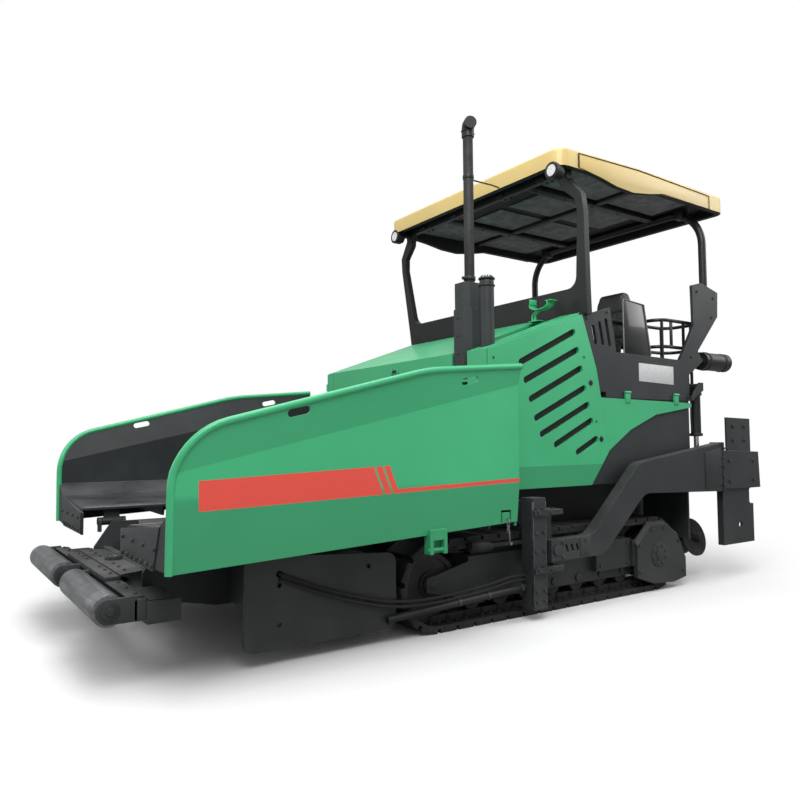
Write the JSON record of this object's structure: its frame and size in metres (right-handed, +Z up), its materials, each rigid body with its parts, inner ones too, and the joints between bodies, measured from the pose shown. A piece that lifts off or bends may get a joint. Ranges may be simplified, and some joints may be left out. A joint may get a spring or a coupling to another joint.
{
  "type": "asphalt paver",
  "caption": "Tracked asphalt paver tractor: folding hopper wings, push rollers, slat conveyors, augers, screed tow arms, louvred hood and canopied operator platform.",
  "frame": {"origin": "on the ground under the middle of the machine's length and width", "axes": "+X forwards to the push rollers, +Y to the machine's left, +Z up"},
  "size_m": [6.34, 3.32, 4.0063],
  "materials": {
    "green_paint": "glossy light green machine paint",
    "cream_paint": "semi-gloss cream yellow paint",
    "dark_grey_paint": "satin dark grey paint",
    "black_paint": "satin black paint",
    "dark_steel": "dull dark cast and rolled steel",
    "worn_steel": "steel tube rubbed bright",
    "rod_chrome": "hard chrome cylinder rods",
    "seat_vinyl": "matt black seat covering"
  },
  "bodies": {
    "tractor": {"main_frame": "dark_grey_paint", "conveyors": "dark_steel", "conveyor_shafts": "dark_steel", "side_frames": "dark_grey_paint", "track_left": "dark_steel", "track_right": "dark_steel", "track_frames": "dark_grey_paint", "track_wheels": "dark_steel", "drive_guards": "dark_grey_paint", "tow_guides": "dark_grey_paint", "engine_block": "dark_steel", "hood": "green_paint", "exhaust_pipe": "dark_steel", "exhaust_shield": "dark_grey_paint", "air_cleaner": "dark_grey_paint", "rear_housing": "dark_grey_paint", "side_boxes": "dark_grey_paint", "fenders": "green_paint", "platform": "dark_grey_paint", "side_panels": "dark_grey_paint", "seat_bases": "black_paint", "seat_cushions": "seat_vinyl", "seat_backs": "seat_vinyl", "console": "dark_grey_paint", "canopy": "cream_paint", "canopy_front_frame": "black_paint", "canopy_rear_hoop": "black_paint", "canopy_lamps": "black_paint", "work_lights": "black_paint", "auger_carrier": "dark_grey_paint", "auger_plates": "dark_grey_paint", "cable_tubes": "dark_grey_paint", "ladder": "dark_grey_paint"},
    "wing_left": {"wing_left": "green_paint"},
    "wing_barrel_left": {"wing_barrel_left": "black_paint"},
    "wing_rod_left": {"wing_rod_left": "rod_chrome"},
    "tow_slider_left": {"tow_slider_left": "dark_grey_paint"},
    "tow_arm_left": {"tow_arm_left": "dark_grey_paint", "arm_bracket_left": "dark_grey_paint"},
    "lift_barrel_left": {"lift_barrel_left": "black_paint"},
    "lift_rod_left": {"lift_rod_left": "rod_chrome"},
    "side_door_left": {"side_door_left": "green_paint"},
    "auger_left": {"auger_left": "dark_steel"},
    "wing_right": {"wing_right": "green_paint"},
    "wing_barrel_right": {"wing_barrel_right": "black_paint"},
    "wing_rod_right": {"wing_rod_right": "rod_chrome"},
    "tow_slider_right": {"tow_slider_right": "dark_grey_paint"},
    "tow_arm_right": {"tow_arm_right": "dark_grey_paint", "arm_bracket_right": "dark_grey_paint"},
    "lift_barrel_right": {"lift_barrel_right": "black_paint"},
    "lift_rod_right": {"lift_rod_right": "rod_chrome"},
    "side_door_right": {"side_door_right": "green_paint"},
    "auger_right": {"auger_right": "dark_steel"},
    "push_beam": {"push_beam": "dark_grey_paint"},
    "hood_lid": {"hood_lid": "green_paint"},
    "push_roller_left": {"push_roller_left": "worn_steel"},
    "push_roller_right": {"push_roller_right": "worn_steel"}
  },
  "joints": [
    {"name": "wing_left_fold", "type": "hinge", "parent": "tractor", "child": "wing_left", "pos_m": [1.5, 0.75, 0.75], "axis": [1, 0, 0], "range_deg": [0, 50]},
    {"name": "wing_barrel_left_swing", "type": "hinge", "parent": "tractor", "child": "wing_barrel_left", "pos_m": [1.79, 0.9, 0.36], "axis": [1, 0, 0], "range_deg": [0, 29.4]},
    {"name": "wing_rod_left_slide", "type": "slide", "parent": "wing_barrel_left", "child": "wing_rod_left", "axis": [0, 0.5852, 0.8109], "range_m": [0, 0.2438]},
    {"name": "tow_point_left_lift", "type": "slide", "parent": "tractor", "child": "tow_slider_left", "axis": [0, 0, 1], "range_m": [-0.1, 0.1]},
    {"name": "tow_arm_left_lift", "type": "hinge", "parent": "tow_slider_left", "child": "tow_arm_left", "pos_m": [-0.175, 1.37, 0.515], "axis": [0, 1, 0], "range_deg": [-4, 3]},
    {"name": "lift_barrel_left_swing", "type": "hinge", "parent": "tractor", "child": "lift_barrel_left", "pos_m": [-2.38, 1.22, 1.88], "axis": [0, 1, 0], "range_deg": [-3, 3]},
    {"name": "lift_rod_left_slide", "type": "slide", "parent": "lift_barrel_left", "child": "lift_rod_left", "axis": [0, 0, -1], "range_m": [-0.116, 0.155]},
    {"name": "side_door_left_open", "type": "hinge", "parent": "tractor", "child": "side_door_left", "pos_m": [0.368, 1.275, 1.5], "axis": [0, 0, -1], "range_deg": [0, 80]},
    {"name": "auger_left_spin", "type": "hinge", "parent": "tractor", "child": "auger_left", "pos_m": [-2.45, 0.6, 0.4], "axis": [0, 1, 0], "continuous": true},
    {"name": "wing_right_fold", "type": "hinge", "parent": "tractor", "child": "wing_right", "pos_m": [1.5, -0.75, 0.75], "axis": [-1, 0, 0], "range_deg": [0, 50]},
    {"name": "wing_barrel_right_swing", "type": "hinge", "parent": "tractor", "child": "wing_barrel_right", "pos_m": [1.79, -0.9, 0.36], "axis": [-1, 0, 0], "range_deg": [0, 29.4]},
    {"name": "wing_rod_right_slide", "type": "slide", "parent": "wing_barrel_right", "child": "wing_rod_right", "axis": [0, -0.5852, 0.8109], "range_m": [0, 0.2438]},
    {"name": "tow_point_right_lift", "type": "slide", "parent": "tractor", "child": "tow_slider_right", "axis": [0, 0, 1], "range_m": [-0.1, 0.1]},
    {"name": "tow_arm_right_lift", "type": "hinge", "parent": "tow_slider_right", "child": "tow_arm_right", "pos_m": [-0.175, -1.37, 0.515], "axis": [0, 1, 0], "range_deg": [-4, 3]},
    {"name": "lift_barrel_right_swing", "type": "hinge", "parent": "tractor", "child": "lift_barrel_right", "pos_m": [-2.38, -1.22, 1.88], "axis": [0, 1, 0], "range_deg": [-3, 3]},
    {"name": "lift_rod_right_slide", "type": "slide", "parent": "lift_barrel_right", "child": "lift_rod_right", "axis": [0, 0, -1], "range_m": [-0.116, 0.155]},
    {"name": "side_door_right_open", "type": "hinge", "parent": "tractor", "child": "side_door_right", "pos_m": [0.368, -1.275, 1.5], "axis": [0, 0, 1], "range_deg": [0, 80]},
    {"name": "auger_right_spin", "type": "hinge", "parent": "tractor", "child": "auger_right", "pos_m": [-2.45, -0.6, 0.4], "axis": [0, 1, 0], "continuous": true},
    {"name": "push_beam_swing", "type": "hinge", "parent": "tractor", "child": "push_beam", "pos_m": [2.79, 0, 0.46], "axis": [0, 0, 1], "range_deg": [-4, 4]},
    {"name": "hood_lid_open", "type": "hinge", "parent": "tractor", "child": "hood_lid", "pos_m": [-0.678, 0, 2.448], "axis": [0, -1, 0], "range_deg": [0, 45]},
    {"name": "push_roller_left_spin", "type": "hinge", "parent": "push_beam", "child": "push_roller_left", "pos_m": [3.08, 0.53, 0.455], "axis": [0, 1, 0], "continuous": true},
    {"name": "push_roller_right_spin", "type": "hinge", "parent": "push_beam", "child": "push_roller_right", "pos_m": [3.08, -0.53, 0.455], "axis": [0, 1, 0], "continuous": true}
  ],
  "couplings": [
    {"joint": "wing_barrel_left_swing", "follows": "wing_left_fold", "ratio": 0.5815},
    {"joint": "wing_rod_left_slide", "follows": "wing_left_fold", "m_per_rad": 0.2771},
    {"joint": "lift_barrel_left_swing", "follows": "tow_arm_left_lift", "ratio": -0.65},
    {"joint": "lift_rod_left_slide", "follows": "tow_arm_left_lift", "m_per_rad": -2.2},
    {"joint": "wing_barrel_right_swing", "follows": "wing_right_fold", "ratio": 0.5815},
    {"joint": "wing_rod_right_slide", "follows": "wing_right_fold", "m_per_rad": 0.2771},
    {"joint": "lift_barrel_right_swing", "follows": "tow_arm_right_lift", "ratio": -0.65},
    {"joint": "lift_rod_right_slide", "follows": "tow_arm_right_lift", "m_per_rad": -2.2}
  ]
}
